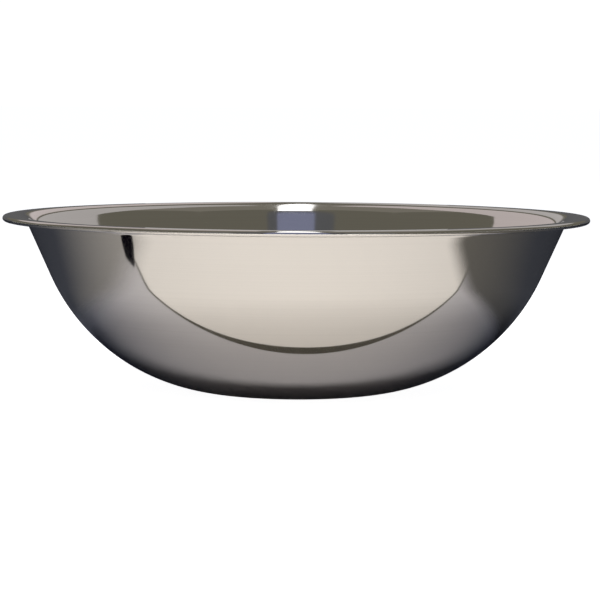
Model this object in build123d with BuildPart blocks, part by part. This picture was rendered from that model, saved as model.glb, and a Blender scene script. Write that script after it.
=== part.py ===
"""Mixing bowl: one disc of stainless sheet, drawn to a flat-bottomed bowl whose rim is turned out flat
and curled under at its edge. Millimetres, +Z up, origin on the axis at the foot."""

from build123d import *
import os
from math import radians, tan

# Driving dimensions
rim_diameter = 476.0  # over the curled edge
height = 144.0  # foot to the top of the rim
sheet = 0.8  # thickness of the steel, 22 gauge
wall_slope = 24.0  # degrees that the straight wall leans out from the vertical
knuckle_radius = 160.0  # mid-sheet radius that carries the wall down into the foot
rim_width = 17.6  # corner of wall and rim to the curled edge, at mid-sheet
rim_bend_radius = 12.0  # mid-sheet radius where the wall turns out flat
curl_diameter = 4.6  # outside of the rolled edge
curl_turn = 280.0  # degrees that the edge is rolled round, short of closing on the rim

# The sheet's middle line: along the foot from the axis, up the wall and out along the rim
foot_level = sheet / 2
rim_level = height - sheet / 2
rim_corner = rim_diameter / 2 - rim_width
foot_corner = rim_corner - (rim_level - foot_level) * tan(radians(wall_slope))
curl_centre = (rim_diameter / 2 - curl_diameter / 2, height - curl_diameter / 2)
curl_radius = (curl_diameter - sheet) / 2

with BuildPart() as bowl:
    with BuildSketch(Plane.XZ):
        with BuildLine():
            FilletPolyline(
                (0, foot_level),
                (foot_corner, foot_level),
                (rim_corner, rim_level),
                (curl_centre[0], rim_level),
                radius=(knuckle_radius, rim_bend_radius),
            )
            CenterArc(curl_centre, curl_radius, 90, -curl_turn)
        trace(line_width=sheet)
    revolve(axis=Axis.Z)
bowl.part.label = "bowl"

os.makedirs("parts", exist_ok=True)
export_step(bowl.part, "parts/bowl.step")
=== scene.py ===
"""A mirror-polished stainless mixing bowl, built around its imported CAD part, and the studio it stands in.

The file is laid out as a Blender add-on and is run as a script. Metres, +Z up, and the origin is on the
bowl's axis at the underside of its foot.
"""

import math

import bpy
import numpy as np
from bpy.props import FloatProperty, FloatVectorProperty, IntProperty, PointerProperty
from mathutils import Matrix, Vector


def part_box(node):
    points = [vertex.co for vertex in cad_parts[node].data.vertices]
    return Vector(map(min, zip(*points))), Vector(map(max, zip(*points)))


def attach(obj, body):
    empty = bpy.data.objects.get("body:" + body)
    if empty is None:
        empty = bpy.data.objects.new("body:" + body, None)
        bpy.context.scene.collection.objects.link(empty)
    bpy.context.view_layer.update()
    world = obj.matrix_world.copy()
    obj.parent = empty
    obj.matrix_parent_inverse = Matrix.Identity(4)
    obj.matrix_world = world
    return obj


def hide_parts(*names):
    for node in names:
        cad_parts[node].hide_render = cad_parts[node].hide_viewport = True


bl_info = {
    "name": "Mixing bowl",
    "version": (1, 0, 0),
    "blender": (4, 5, 0),
    "location": "3D View > Sidebar > Bowl",
    "description": "Makes a mirror-polished stainless mixing bowl and the studio it stands in",
    "category": "Add Mesh",
}

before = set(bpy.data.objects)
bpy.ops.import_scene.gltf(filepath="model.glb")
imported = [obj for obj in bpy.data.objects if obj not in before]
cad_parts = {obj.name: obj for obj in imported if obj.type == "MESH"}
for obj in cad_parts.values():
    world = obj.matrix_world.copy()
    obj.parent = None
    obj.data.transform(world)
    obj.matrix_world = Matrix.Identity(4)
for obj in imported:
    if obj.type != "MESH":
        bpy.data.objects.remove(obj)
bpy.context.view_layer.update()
bowl_low, bowl_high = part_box("bowl")


def linear(hex_colour):
    """The linear red, green and blue of an sRGB colour written as a hex string."""
    srgb = np.array([int(hex_colour[i : i + 2], 16) for i in (1, 3, 5)]) / 255
    return tuple(np.where(srgb <= 0.04045, srgb / 12.92, ((srgb + 0.055) / 1.055) ** 2.4))


# ---------------------------------------------------------------- properties


class BowlSizes(bpy.types.PropertyGroup):
    """The sizes of the drawn sheet, taken along its middle line."""

    rim_radius: FloatProperty(
        name="Rim radius",
        description="Axis to the outside of the curled edge",
        default=min(bowl_high.x, bowl_high.y),
        subtype="DISTANCE",
    )
    height: FloatProperty(
        name="Height",
        description="Foot to the top of the rim",
        default=bowl_high.z,
        subtype="DISTANCE",
    )
    sheet: FloatProperty(
        name="Sheet",
        description="Thickness of the steel",
        default=0.0008,
        subtype="DISTANCE",
    )
    wall_slope: FloatProperty(
        name="Wall slope",
        description="How far the straight wall leans out from the vertical",
        default=math.radians(24),
        subtype="ANGLE",
    )
    knuckle_radius: FloatProperty(
        name="Knuckle radius",
        description="Radius that carries the wall down into the foot",
        default=0.160,
        subtype="DISTANCE",
    )
    rim_width: FloatProperty(
        name="Rim width",
        description="Corner of wall and rim to the outside of the curled edge",
        default=0.0176,
        subtype="DISTANCE",
    )
    rim_bend_radius: FloatProperty(
        name="Rim bend radius",
        description="Radius where the wall turns out into the flat rim",
        default=0.012,
        subtype="DISTANCE",
    )
    curl_diameter: FloatProperty(
        name="Curl diameter",
        description="Outside of the rolled edge",
        default=0.0046,
        subtype="DISTANCE",
    )
    curl_turn: FloatProperty(
        name="Curl turn",
        description="How far round the edge is rolled, short of closing on the rim",
        default=math.radians(280),
        subtype="ANGLE",
    )
    segments: IntProperty(
        name="Segments",
        description="Faces round the bowl",
        default=480,
        min=12,
    )


class SteelLook(bpy.types.PropertyGroup):
    """The finish of the steel."""

    colour: FloatVectorProperty(
        name="Steel",
        description="Colour that the polished steel gives what it mirrors",
        default=linear("#d9d7d5"),
        subtype="COLOR",
        min=0,
        max=1,
    )
    roughness: FloatProperty(
        name="Roughness",
        description="Blur of what the polished steel mirrors",
        default=0.06,
        min=0,
        max=1,
    )


class StudioSizes(bpy.types.PropertyGroup):
    """The camera and the light."""

    camera_distance: FloatProperty(
        name="Camera distance",
        description="Bowl's middle to the camera",
        default=2.3,
        subtype="DISTANCE",
    )
    camera_elevation: FloatProperty(
        name="Camera elevation",
        description="Height of the camera above the level of the bowl's middle, as an angle",
        default=math.radians(4.64),
        subtype="ANGLE",
    )
    camera_roll: FloatProperty(
        name="Camera roll",
        description="Turn of the camera about its own line of sight",
        default=math.radians(0.30),
        subtype="ANGLE",
    )
    camera_lens: FloatProperty(
        name="Lens",
        description="Focal length on a 36 mm sensor, in millimetres",
        default=169.2,
        min=1,
    )
    sky: FloatProperty(
        name="Sky",
        description="Radiance of the weak light from all round",
        default=0.1,
        min=0,
    )
    key: FloatProperty(
        name="Key light",
        description="Radiance of the long softbox overhead, as the floor sees it",
        default=4.8,
        min=0,
    )
    front: FloatProperty(
        name="Front light",
        description="Radiance of the lamp high in front, as the floor sees it",
        default=42.0,
        min=0,
    )
    light_table: FloatProperty(
        name="Light table",
        description="Radiance of the floor itself, which is lit from below",
        default=0.96,
        min=0,
    )


# ---------------------------------------------------------------- surfaces


def run(start, heading, length, turn, steps):
    """One stretch of a line in a plane that sets off from start at a heading and turns evenly.

    At a share s of its length the heading is heading + turn s. A straight stretch goes length s along its
    heading, and a round one lies on a circle of radius length / turn. Returns the points after the first
    and their headings.
    """
    share = np.linspace(0, 1, steps + 1)[1:]
    headings = heading + turn * share
    if turn:
        radius = length / turn
        across = radius * (np.sin(headings) - math.sin(heading))
        up = radius * (math.cos(heading) - np.cos(headings))
    else:
        across = length * share * math.cos(heading)
        up = length * share * math.sin(heading)
    return np.column_stack((start[0] + across, start[1] + up)), headings


def sheet_middle(sizes):
    """The middle line of the sheet, as (radius, height) points and their headings, from the axis out."""
    half_sheet = sizes.sheet / 2
    rise = math.pi / 2 - sizes.wall_slope
    knuckle_reach = sizes.knuckle_radius * math.tan(rise / 2)
    bend_reach = sizes.rim_bend_radius * math.tan(rise / 2)
    curl_middle = sizes.curl_diameter / 2 - half_sheet
    climb = sizes.height - 2 * half_sheet
    rim_corner = sizes.rim_radius - sizes.rim_width
    foot_corner = rim_corner - climb * math.tan(sizes.wall_slope)
    # Foot, knuckle, wall, bend, rim and curl: the length of each, how far it turns left, and its steps.
    stretches = (
        (foot_corner - knuckle_reach, 0, 4),
        (sizes.knuckle_radius * rise, rise, 44),
        (climb / math.cos(sizes.wall_slope) - knuckle_reach - bend_reach, 0, 8),
        (sizes.rim_bend_radius * rise, -rise, 14),
        (sizes.rim_width - sizes.curl_diameter / 2 - bend_reach, 0, 3),
        (curl_middle * sizes.curl_turn, -sizes.curl_turn, 22),
    )
    points = np.array([[0.0, half_sheet]])
    headings = np.array([0.0])
    for length, turn, steps in stretches:
        more, their_headings = run(points[-1], headings[-1], length, turn, steps)
        points = np.vstack((points, more))
        headings = np.append(headings, their_headings)
    return points, headings


def thicken(points, headings, thickness, edge_steps=6):
    """The outline of a sheet of that thickness about a middle line that starts on the axis.

    Each skin lies half the thickness off the line, square to its heading. A half circle about the line's
    end is the deburred edge between them.
    """
    off = thickness / 2 * np.column_stack((-np.sin(headings), np.cos(headings)))
    round_edge = headings[-1] + np.linspace(-math.pi / 2, math.pi / 2, edge_steps + 1)[1:-1]
    edge = points[-1] + thickness / 2 * np.column_stack((np.cos(round_edge), np.sin(round_edge)))
    return np.vstack((points - off, edge, (points + off)[::-1]))


def lathe(name, outline, segments):
    """Turns an outline about Z: radius r and height z at angle a give (r cos a, r sin a, z).

    The outline starts and ends on the axis, where one vertex closes each pole, and runs so that its left
    side is inside the solid. A quad joins each pair of rings at each pair of angles.
    """
    angle = np.linspace(0, 2 * math.pi, segments, endpoint=False)
    radius, height = outline[1:-1, :1], outline[1:-1, 1:]
    rings = np.stack(
        (radius * np.cos(angle), radius * np.sin(angle), np.broadcast_to(height, (len(height), segments))),
        axis=-1,
    )
    poles = np.array([[0, 0, outline[0, 1]], [0, 0, outline[-1, 1]]])
    here = np.arange(segments)
    beside = np.roll(here, -1)
    ring = np.arange(len(rings) - 1)[:, None] * segments
    quads = np.stack(
        (ring + here, ring + beside, ring + segments + beside, ring + segments + here), axis=-1
    )
    top = (len(rings) - 1) * segments
    first_pole, last_pole = rings.size // 3, rings.size // 3 + 1
    first_fan = np.column_stack((np.full(segments, first_pole), beside, here))
    last_fan = np.column_stack((np.full(segments, last_pole), top + here, top + beside))
    mesh = bpy.data.meshes.new(name)
    mesh.from_pydata(
        np.vstack((rings.reshape(-1, 3), poles)),
        [],
        quads.reshape(-1, 4).tolist() + first_fan.tolist() + last_fan.tolist(),
    )
    mesh.shade_smooth()
    return link(name, mesh)


def rectangle(name, centre, across, up):
    """A flat card: centre + u across + v up, with u and v from -1 to 1, and a UV map from 0 to 1."""
    corners = ((-1, -1), (1, -1), (1, 1), (-1, 1))
    centre, across, up = (np.array(v, float) for v in (centre, across, up))
    mesh = bpy.data.meshes.new(name)
    mesh.from_pydata([centre + u * across + v * up for u, v in corners], [], [(0, 1, 2, 3)])
    uv = mesh.uv_layers.new(name="UVMap")
    uv.data.foreach_set("uv", (np.array(corners, float).ravel() + 1) / 2)
    return link(name, mesh)


def strip(name, across, near, far, level):
    """A flat sheet at one level, from a line y = near(x) to a line y = far(x), over the x in across."""
    across = np.asarray(across, float)
    lines = [np.column_stack((across, np.broadcast_to(y, across.shape))) for y in (near, far)]
    flat = np.vstack(lines)
    here = np.arange(len(across) - 1)
    mesh = bpy.data.meshes.new(name)
    mesh.from_pydata(
        np.column_stack((flat, np.full(len(flat), level))),
        [],
        np.column_stack((here, here + 1, len(across) + here + 1, len(across) + here)).tolist(),
    )
    return link(name, mesh)


def link(name, data):
    """A new object for this data, in the scene."""
    thing = bpy.data.objects.new(name, data)
    bpy.context.scene.collection.objects.link(thing)
    return thing


# ---------------------------------------------------------------- materials


# A range that eases in and out between its two ends.
SMOOTH = {"interpolation_type": "SMOOTHSTEP"}


def add(tree, kind, settings=None, inputs=None):
    """Adds a node: settings are its properties, and inputs are socket values or sockets to link from."""
    node = tree.nodes.new(kind)
    for name, value in (settings or {}).items():
        setattr(node, name, value)
    for socket, value in (inputs or {}).items():
        if isinstance(value, bpy.types.NodeSocket):
            tree.links.new(value, node.inputs[socket])
        else:
            node.inputs[socket].default_value = value
    return node


def new_material(name):
    """An empty material and its node tree."""
    material = bpy.data.materials.new(name)
    material.use_nodes = True
    material.node_tree.nodes.clear()
    return material, material.node_tree


def polished_stainless(look):
    """18/8 stainless sheet, drawn and then buffed round and round to a mirror.

    The eye sees a slightly warm mirror with a trace of bloom, faint rings from the buffing wheel, and
    reflections that bend a little where the drawn sheet isn't quite true.
    """
    # Buffing lines are a few hundredths of a millimetre apart; these are 1.5 mm apart, so that they show.
    line_pitch, line_depth, line_tone = 0.0015, 0.0000006, 0.97
    # The drawn sheet is out of true by some hundredths of a millimetre over about 60 mm.
    wave_length, wave_depth = 0.06, 0.00006
    # Bloom left by the buffing compound and by drying, in patches of about 25 mm.
    bloom_patch, cleanest, dullest = 0.025, 0.8, 1.3
    # Nearly all of a noise lies between these two values.
    noise_span = {"From Min": 0.3, "From Max": 0.7}

    material, tree = new_material("polished_stainless_18_8")
    place = add(tree, "ShaderNodeTexCoord").outputs["Object"]
    parts = add(tree, "ShaderNodeSeparateXYZ", inputs={"Vector": place})
    flat = add(tree, "ShaderNodeCombineXYZ", inputs={"X": parts.outputs["X"], "Y": parts.outputs["Y"]})
    radius = add(tree, "ShaderNodeVectorMath", {"operation": "LENGTH"}, {0: flat.outputs["Vector"]})
    ring = add(
        tree,
        "ShaderNodeCombineXYZ",
        inputs={"X": radius.outputs["Value"], "Y": parts.outputs["Z"]},
    )
    rings = add(
        tree,
        "ShaderNodeTexNoise",
        {"noise_dimensions": "2D"},
        {"Vector": ring.outputs["Vector"], "Scale": 1 / line_pitch, "Detail": 3, "Roughness": 0.6},
    )
    waves = add(
        tree,
        "ShaderNodeTexNoise",
        inputs={"Vector": place, "Scale": 1 / wave_length, "Detail": 1, "Roughness": 0.4},
    )
    bloom = add(
        tree,
        "ShaderNodeTexNoise",
        inputs={"Vector": place, "Scale": 1 / bloom_patch, "Detail": 4, "Roughness": 0.55},
    )
    wavy = add(
        tree,
        "ShaderNodeBump",
        inputs={"Strength": 1, "Distance": wave_depth, "Height": waves.outputs["Fac"]},
    )
    buffed = add(
        tree,
        "ShaderNodeBump",
        inputs={
            "Strength": 1,
            "Distance": line_depth,
            "Height": rings.outputs["Fac"],
            "Normal": wavy.outputs["Normal"],
        },
    )
    roughness = add(
        tree,
        "ShaderNodeMapRange",
        inputs={
            **noise_span,
            "Value": bloom.outputs["Fac"],
            "To Min": look.roughness * cleanest,
            "To Max": look.roughness * dullest,
        },
    )
    tone = add(
        tree,
        "ShaderNodeMapRange",
        inputs={**noise_span, "Value": rings.outputs["Fac"], "To Min": line_tone, "To Max": 1.0},
    )
    colour = add(
        tree,
        "ShaderNodeVectorMath",
        {"operation": "SCALE"},
        {0: tuple(look.colour), "Scale": tone.outputs["Result"]},
    )
    steel = add(
        tree,
        "ShaderNodeBsdfPrincipled",
        inputs={
            "Base Color": colour.outputs["Vector"],
            "Metallic": 1.0,
            "Roughness": roughness.outputs["Result"],
            "Normal": buffed.outputs["Normal"],
        },
    )
    add(tree, "ShaderNodeOutputMaterial", inputs={"Surface": steel.outputs["BSDF"]})
    return material


def matt(name, near, far=None, shade_span=None, side=None, lit=0.0):
    """Matt paper or cloth, which gives the eye one soft even tone.

    With a far colour it goes smoothly from near, at the first of two given values of y, to far at the
    second:
    that is painted shade, which darkens the sheet towards the back. With side = (clear, solid, slant) it
    has
    a soft edge: it's clear where x + slant y = clear and solid where that is solid. It can also be lit from
    below, evenly.
    """
    material, tree = new_material(name)
    place = add(tree, "ShaderNodeTexCoord").outputs["Object"]
    colour = (*linear(near), 1)
    if far:
        # The far colour is painted shade: the sheet darkens smoothly towards the back.
        parts = add(tree, "ShaderNodeSeparateXYZ", inputs={"Vector": place})
        shade_share = add(
            tree,
            "ShaderNodeMapRange",
            SMOOTH,
            {"Value": parts.outputs["Y"], "From Min": shade_span[0], "From Max": shade_span[1]},
        )
        mixed = add(
            tree,
            "ShaderNodeMix",
            {"data_type": "RGBA"},
            {0: shade_share.outputs["Result"], 6: colour, 7: (*linear(far), 1)},
        )
        colour = mixed.outputs[2]
    paper = add(tree, "ShaderNodeBsdfDiffuse", inputs={"Color": colour}).outputs["BSDF"]
    if side:
        clear, solid, slant = side
        along = add(
            tree, "ShaderNodeVectorMath", {"operation": "DOT_PRODUCT"}, {0: place, 1: (1, slant, 0)}
        )
        share = add(
            tree,
            "ShaderNodeMapRange",
            SMOOTH,
            {"Value": along.outputs["Value"], "From Min": clear, "From Max": solid},
        )
        air = add(tree, "ShaderNodeBsdfTransparent")
        paper = add(
            tree,
            "ShaderNodeMixShader",
            inputs={0: share.outputs["Result"], 1: air.outputs["BSDF"], 2: paper},
        ).outputs["Shader"]
    if lit:
        below = add(tree, "ShaderNodeEmission", inputs={"Strength": lit}).outputs["Emission"]
        paper = add(tree, "ShaderNodeAddShader", inputs={0: paper, 1: below}).outputs["Shader"]
    add(tree, "ShaderNodeOutputMaterial", inputs={"Surface": paper})
    return material


def glow(name, hex_colour, strength=1.0, feather=0.0):
    """A card that glows evenly by its own light. A feather fades it to clear along each side, over that
    share of its width.
    """
    material, tree = new_material(name)
    light = add(
        tree,
        "ShaderNodeEmission",
        inputs={"Color": (*linear(hex_colour), 1), "Strength": strength},
    ).outputs["Emission"]
    if feather:
        uv = add(tree, "ShaderNodeTexCoord").outputs["UV"]
        middle = add(
            tree, "ShaderNodeVectorMath", {"operation": "SUBTRACT"}, {0: uv, 1: (0.5, 0.5, 0)}
        )
        away = add(tree, "ShaderNodeVectorMath", {"operation": "ABSOLUTE"}, {0: middle.outputs["Vector"]})
        sides = add(tree, "ShaderNodeSeparateXYZ", inputs={"Vector": away.outputs["Vector"]})
        fades = [
            add(
                tree,
                "ShaderNodeMapRange",
                SMOOTH,
                {"Value": sides.outputs[side], "From Min": 0.5, "From Max": 0.5 - feather},
            ).outputs["Result"]
            for side in ("X", "Y")
        ]
        solid = add(tree, "ShaderNodeMath", {"operation": "MULTIPLY"}, {0: fades[0], 1: fades[1]})
        air = add(tree, "ShaderNodeBsdfTransparent")
        light = add(
            tree,
            "ShaderNodeMixShader",
            inputs={0: solid.outputs["Value"], 1: air.outputs["BSDF"], 2: light},
        ).outputs["Shader"]
    add(tree, "ShaderNodeOutputMaterial", inputs={"Surface": light})
    return material


# ---------------------------------------------------------------- operators


class BOWL_OT_bowl(bpy.types.Operator):
    """Make the bowl: foot, knuckle, wall, rim and curled edge in one sheet"""

    bl_idname = "bowl.bowl"
    bl_label = "Bowl"

    def execute(self, context):
        sizes = context.scene.bowl_sizes
        points, headings = sheet_middle(sizes)
        bowl = lathe("drawn_bowl", thicken(points, headings, sizes.sheet), sizes.segments)
        bowl.data.materials.append(polished_stainless(context.scene.bowl_look))
        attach(bowl, "root")
        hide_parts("bowl")
        return {"FINISHED"}


class BOWL_OT_stage(bpy.types.Operator):
    """Make the floor, the cards that the steel mirrors, the lights and the camera"""

    bl_idname = "bowl.stage"
    bl_label = "Stage"

    def execute(self, context):
        studio = context.scene.bowl_studio
        reach = 30.0
        floor = rectangle("floor", (0, 0, 0), (reach, 0, 0), (0, reach, 0))
        floor.data.materials.append(matt("light_table", "#f4f3f0", lit=studio.light_table))
        for card in (*ground_cards(), *studio_cards()):
            seen_only_by(card, "glossy")
        surround = dome("white_surround", 20.0, "#ffffff", 1.05)
        seen_only_by(surround, "camera")
        make_lamps(studio)
        make_sky(context.scene, studio)
        make_camera(context.scene, studio)
        context.scene.view_settings.view_transform = "Standard"
        return {"FINISHED"}


def seen_only_by(card, kind):
    """Hides a card from every kind of ray but one."""
    for ray in ("camera", "diffuse", "glossy", "transmission", "shadow"):
        setattr(card, "visible_" + ray, ray == kind)


def ground_cards():
    """Sheets on the floor round the bowl, seen only in the steel, each a layer above the one before.

    White paper lies all round, and the bowl stands on a mat. The mat's front edge is slightly bowed: from
    its foremost place, on the left, it falls back with the square of the distance across. A dark strip of
    painted shade, the shadow in the gap there, follows that edge, and its width across the edge is a bell
    curve on top of a least width. Dark cloths with soft edges lie to the left and right, a black wedge lies
    on the left one, and a strip of white paper lies behind the bowl. The mat and the cloths darken towards
    the back, which is painted shade.
    """
    layer = 0.0002
    reach = 3.0
    mat_back = 1.2
    white = "#ece5da"
    across = np.linspace(-0.8, 0.3, 80)
    foremost, foremost_across, bow = -0.173, -0.26, 0.1
    mat_front = foremost + bow * (across - foremost_across) ** 2
    # The dark strip along the mat's front edge is painted shade, the shadow in the gap there; these give
    # its width.
    least_gap, more_gap, widest_across, bell = 0.0016, 0.0034, 0.01, 0.09
    half_gap = least_gap + more_gap * np.exp(-(((across - widest_across) / bell) ** 2))
    wedge = (-0.332, -0.303, -0.285, -0.264)
    wedge_front = (-0.182, -0.193, -0.187, -0.168)
    wedge_back = (-0.174, -0.161, -0.157, -0.166)
    # Over this span of y the cloths darken towards the back: painted shade.
    cloth_shade_span = (-0.28, 0.18)
    sheets = []
    for name, places, front, back, layers, look in (
        ("white_paper", (-reach, reach), -reach, mat_back, 1, {"near": white}),
        # The far colours of the mat and the cloths are painted shade, darker towards the back.
        (
            "mat",
            across,
            mat_front,
            mat_back,
            2,
            {"near": "#cac5c2", "far": "#6e717b", "shade_span": (-0.2, 0.06)},
        ),
        # A dark strip of painted shade: the shadow in the gap along the mat's front edge.
        ("mat_gap_shade", across, mat_front - half_gap, mat_front + half_gap, 3, {"near": "#5c584e"}),
        (
            "left_cloth",
            (-reach, -0.2),
            -reach,
            reach,
            4,
            {"near": "#a8a39a", "far": "#484a50", "shade_span": cloth_shade_span, "side": (-0.22, -0.3, -0.1)},
        ),
        (
            "right_cloth",
            (0.12, reach),
            -reach,
            reach,
            4,
            {"near": "#6c685f", "far": "#44464b", "shade_span": cloth_shade_span, "side": (0.205, 0.255, 0.25)},
        ),
        ("left_wedge", wedge, wedge_front, wedge_back, 5, {"near": "#08060c"}),
        ("rear_paper", (-0.17, 0.17), 0.22, 1.6, 6, {"near": white}),
    ):
        sheet = strip(name, places, front, back, layers * layer)
        sheet.data.materials.append(matt(name, **look))
        sheets.append(sheet)
    return sheets


def dome(name, reach, colour, strength):
    """A sphere round everything, lit evenly from within: a half circle, pole to pole, turned about Z."""
    angle = np.linspace(-math.pi / 2, math.pi / 2, 25)
    outline = reach * np.column_stack((np.cos(angle), np.sin(angle)))
    outline[[0, -1], 0] = 0
    ball = lathe(name, outline, 48)
    ball.data.materials.append(glow(name, colour, strength))
    return ball


def softbox_face():
    """The lit face of the softbox overhead, drawn so that the bowl mirrors it as a long oval.

    It is longest at its tip and shortens towards its left and right ends: at a share t of the way from
    the tip to either end, its length is its least length plus a further length times 1 - t to a power.
    """
    left, tip, right = -0.18, -0.01, 0.22
    level, front, least, further, power = 1.6, -1.06, 0.06, 2.4, 1.3
    across = np.linspace(left, right, 41)
    share = np.clip((across - tip) / np.where(across < tip, left - tip, right - tip), 0, 1)
    back = front + least + further * (1 - share) ** power
    face = strip("softbox_face", across, front, back, level)
    face.data.materials.append(glow("softbox_face", "#ffffff", 1.9))
    return face


def studio_cards():
    """The drapes and cards above, before and behind the bowl and the softbox, seen only in the steel.

    Two pale cards lean out behind the bowl and meet in a V below. A dim ceiling lies over it, a low grey
    card and a narrow pale strip stand behind it, and grey cards and a blue one stand in front. All but the
    softbox glow by their own light, which is painted light in place of lit drapes and cards.
    """
    # The drape and the cards glow by their own light: painted light in place of lit cloth and cards.
    cards = [dome("studio_drape", 6.0, "#6e6b60", 1.0)]
    for name, centre, across, up, colour, feather in (
        ("back_left_card", (-0.685, 0.6, 1.6), (0.565, 0, -0.21), (-0.12, 0, 1.2), "#cfc5c3", 0.015),
        ("back_right_card", (0.665, 0.6, 1.6), (0.545, 0, 0.21), (0.12, 0, 1.2), "#bebab8", 0.015),
        ("ceiling", (0, 0.2, 3.0), (2.5, 0, 0), (0, 1.9, 0), "#837f75", 0.05),
        ("back_strip", (0, 0.6, 0.16), (0.155, 0, 0), (0, 0, 0.06), "#b0aead", 0.0),
        ("back_low_card", (0, 3.0, 0.33), (2.5, 0, 0), (0, 0, 0.34), "#5e5e5f", 0.0),
        ("front_low_card", (0, -3.0, 0.9), (2.5, 0, 0), (0, 0, 1.2), "#828383", 0.1),
        ("flank_card", (-0.0625, -1.2, 0.85), (0.4625, 0, 0), (0, 0, 0.9), "#5f6062", 0.05),
        ("blue_card", (0.006, -1.19, 0.85), (0.251, 0, 0), (0, 0, 0.85), "#8589a2", 0.05),
    ):
        card = rectangle(name, centre, across, up)
        card.data.materials.append(glow(name, colour, feather=feather))
        cards.append(card)
    cards.append(softbox_face())
    return cards


def make_lamps(studio):
    """What the floor sees of the softbox overhead and of a lamp high in front.

    A lamp takes pi times its area times its radiance, in watts.
    """
    for name, width, length, place, radiance in (
        ("key", 0.9, 1.1, (-0.1, -0.5, 1.6), studio.key),
        ("front", 1.2, 0.5, (0.0, -2.0, 1.6), studio.front),
    ):
        light = bpy.data.lights.new(name, "AREA")
        light.shape = "RECTANGLE"
        light.size = width
        light.size_y = length
        light.energy = math.pi * width * length * radiance
        lamp = link(name, light)
        lamp.location = place
        lamp.visible_camera = False
        lamp.visible_glossy = False


def make_sky(scene, studio):
    """Weak cool light from all round."""
    world = bpy.data.worlds.new("sky")
    world.use_nodes = True
    sky = world.node_tree.nodes["Background"]
    sky.inputs["Color"].default_value = (*linear("#a9b8f0"), 1)
    sky.inputs["Strength"].default_value = studio.sky
    scene.world = world


def make_camera(scene, studio):
    """A long lens almost level with the rim, looking along +Y at a place close to the bowl's middle."""
    middle = Vector((0, 0, (bowl_low.z + bowl_high.z) / 2))
    beside_middle = Vector((0.0033, 0, 0.0026))
    slope = studio.camera_elevation
    eye = middle + studio.camera_distance * Vector((0, -math.cos(slope), math.sin(slope)))
    lens = bpy.data.cameras.new("camera")
    lens.lens = studio.camera_lens
    lens.clip_end = 100
    camera = link("camera", lens)
    facing = (middle + beside_middle - eye).to_track_quat("-Z", "Y").to_matrix().to_4x4()
    camera.matrix_world = Matrix.Translation(eye) @ facing @ Matrix.Rotation(studio.camera_roll, 4, "Z")
    scene.camera = camera


# ---------------------------------------------------------------- add-on


class BOWL_PT_panel(bpy.types.Panel):
    """Lists the pieces of the bowl and its stage."""

    bl_idname = "BOWL_PT_panel"
    bl_label = "Mixing bowl"
    bl_space_type = "VIEW_3D"
    bl_region_type = "UI"
    bl_category = "Bowl"

    def draw(self, context):
        for group in GROUPS:
            settings = getattr(context.scene, group)
            for name in settings.bl_rna.properties.keys():
                if name not in ("rna_type", "name"):
                    self.layout.prop(settings, name)
        for operator in OPERATORS:
            self.layout.operator(operator.bl_idname)


GROUPS = {"bowl_sizes": BowlSizes, "bowl_look": SteelLook, "bowl_studio": StudioSizes}
OPERATORS = (BOWL_OT_bowl, BOWL_OT_stage)
CLASSES = (*GROUPS.values(), *OPERATORS, BOWL_PT_panel)


def register():
    for each in CLASSES:
        bpy.utils.register_class(each)
    for name, group in GROUPS.items():
        setattr(bpy.types.Scene, name, PointerProperty(type=group))


def unregister():
    for name in GROUPS:
        delattr(bpy.types.Scene, name)
    for each in reversed(CLASSES):
        bpy.utils.unregister_class(each)


def main():
    register()
    bpy.ops.bowl.bowl()
    bpy.ops.bowl.stage()


if __name__ == "__main__":
    main()
